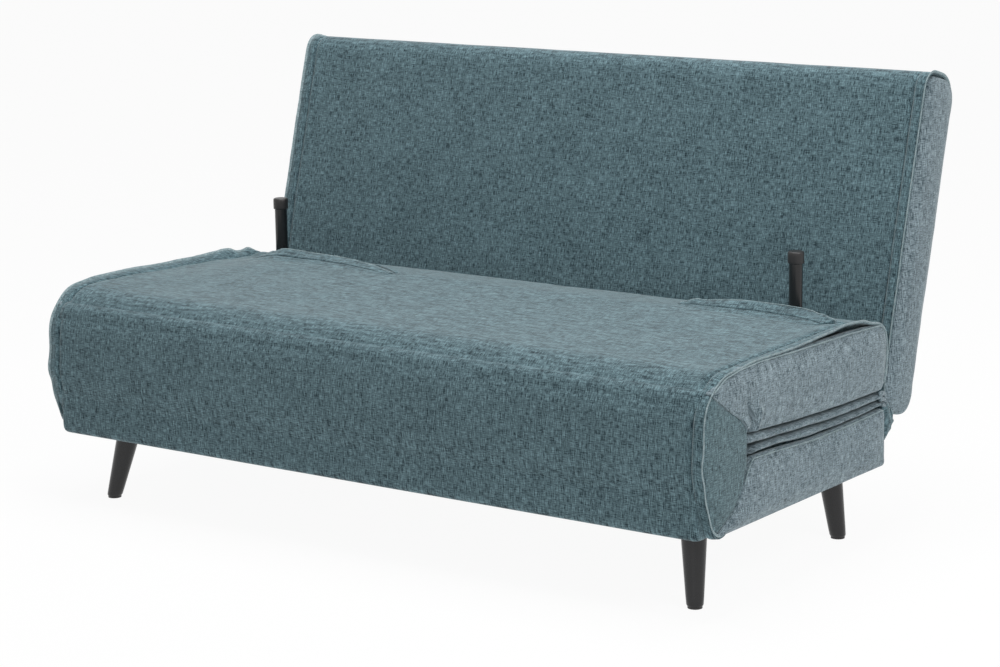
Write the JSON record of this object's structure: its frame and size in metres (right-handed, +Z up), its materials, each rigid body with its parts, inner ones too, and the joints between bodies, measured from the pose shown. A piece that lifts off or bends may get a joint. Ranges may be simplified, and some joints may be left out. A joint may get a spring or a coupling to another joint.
{
  "type": "click clack sofa bed",
  "caption": "Armless upholstered sofa bed with a fold-forward seat section, a reclining ratchet backrest, capped support tubes and tapered splayed legs.",
  "frame": {"origin": "on the floor, under the middle of the sofa", "axes": "+X along the sofa to the sitter's left, +Y to the rear, +Z up"},
  "size_m": [1.48, 0.9096, 0.8374],
  "materials": {
    "cover_cloth": "matte",
    "panel_cloth": "matte",
    "lining_cloth": "matte",
    "black_lacquer": "gloss",
    "black_steel": "satin",
    "black_plastic": "satin",
    "pine": "matte",
    "hardboard": "matte",
    "plated_steel": "satin"
  },
  "bodies": {
    "base": {"leg_front_left": "black_lacquer", "leg_front_right": "black_lacquer", "leg_rear_left": "black_lacquer", "leg_rear_right": "black_lacquer", "leg_glides": "black_plastic", "leg_plates": "plated_steel", "leg_blocks": "pine", "leg_screws": "plated_steel", "dust_cover": "lining_cloth", "base_side_rails": "pine", "base_cross_rails": "pine", "base_slats": "pine", "base_mattress": "cover_cloth", "base_side_borders": "cover_cloth", "base_front_border": "panel_cloth", "base_rear_border": "cover_cloth", "base_gussets": "panel_cloth", "base_fold_arms": "plated_steel", "fold_pins": "plated_steel", "base_bolts": "plated_steel", "ratchet_quadrant_left": "plated_steel", "ratchet_quadrant_right": "plated_steel", "pivot_pins": "plated_steel"},
    "seat_section": {"seat_foam": "cover_cloth", "sleeping_foam": "cover_cloth", "seat_side_borders": "cover_cloth", "seat_front_border": "panel_cloth", "seat_rear_border": "cover_cloth", "seat_gussets": "panel_cloth", "seat_side_rails": "pine", "seat_end_rails": "pine", "seat_inner_rails": "pine", "seat_slats": "pine", "seat_deck": "hardboard", "seat_fold_arms": "plated_steel", "seat_arm_spacers": "plated_steel", "seat_bolts": "plated_steel", "tube_sockets": "black_steel", "support_tube_left": "black_steel", "support_tube_right": "black_steel", "tube_cap_left": "black_plastic", "tube_cap_right": "black_plastic", "hem_flap_left": "cover_cloth", "hem_flap_right": "cover_cloth"},
    "backrest": {"back_front_foam": "panel_cloth", "back_rear_pad": "cover_cloth", "back_side_borders": "cover_cloth", "back_end_borders": "cover_cloth", "back_side_rails": "pine", "back_end_rails": "pine", "back_centre_rail": "pine", "back_slats": "pine", "swing_plate_left": "plated_steel", "swing_plate_right": "plated_steel", "back_bolts": "plated_steel", "pawl_studs": "plated_steel", "pawl_springs": "plated_steel"},
    "pawl_left_body": {"pawl_left": "plated_steel"},
    "pawl_right_body": {"pawl_right": "plated_steel"}
  },
  "joints": [
    {"name": "seat_fold", "type": "hinge", "parent": "base", "child": "seat_section", "pos_m": [0, -0.44581, 0.269], "axis": [1, 0, 0], "range_deg": [0, 180]},
    {"name": "backrest_recline", "type": "hinge", "parent": "base", "child": "backrest", "pos_m": [0, 0.21219, 0.2486], "axis": [-1, 0, 0], "range_deg": [-7.47, 74.7]},
    {"name": "pawl_left_swing", "type": "hinge", "parent": "backrest", "child": "pawl_left_body", "pos_m": [0, 0.23625, 0.29582], "axis": [-1, 0, 0], "range_deg": [0, 6]},
    {"name": "pawl_right_swing", "type": "hinge", "parent": "backrest", "child": "pawl_right_body", "pos_m": [0, 0.23625, 0.29582], "axis": [-1, 0, 0], "range_deg": [0, 6]}
  ],
  "couplings": [
    {"joint": "pawl_right_swing", "follows": "pawl_left_swing", "ratio": 1}
  ]
}
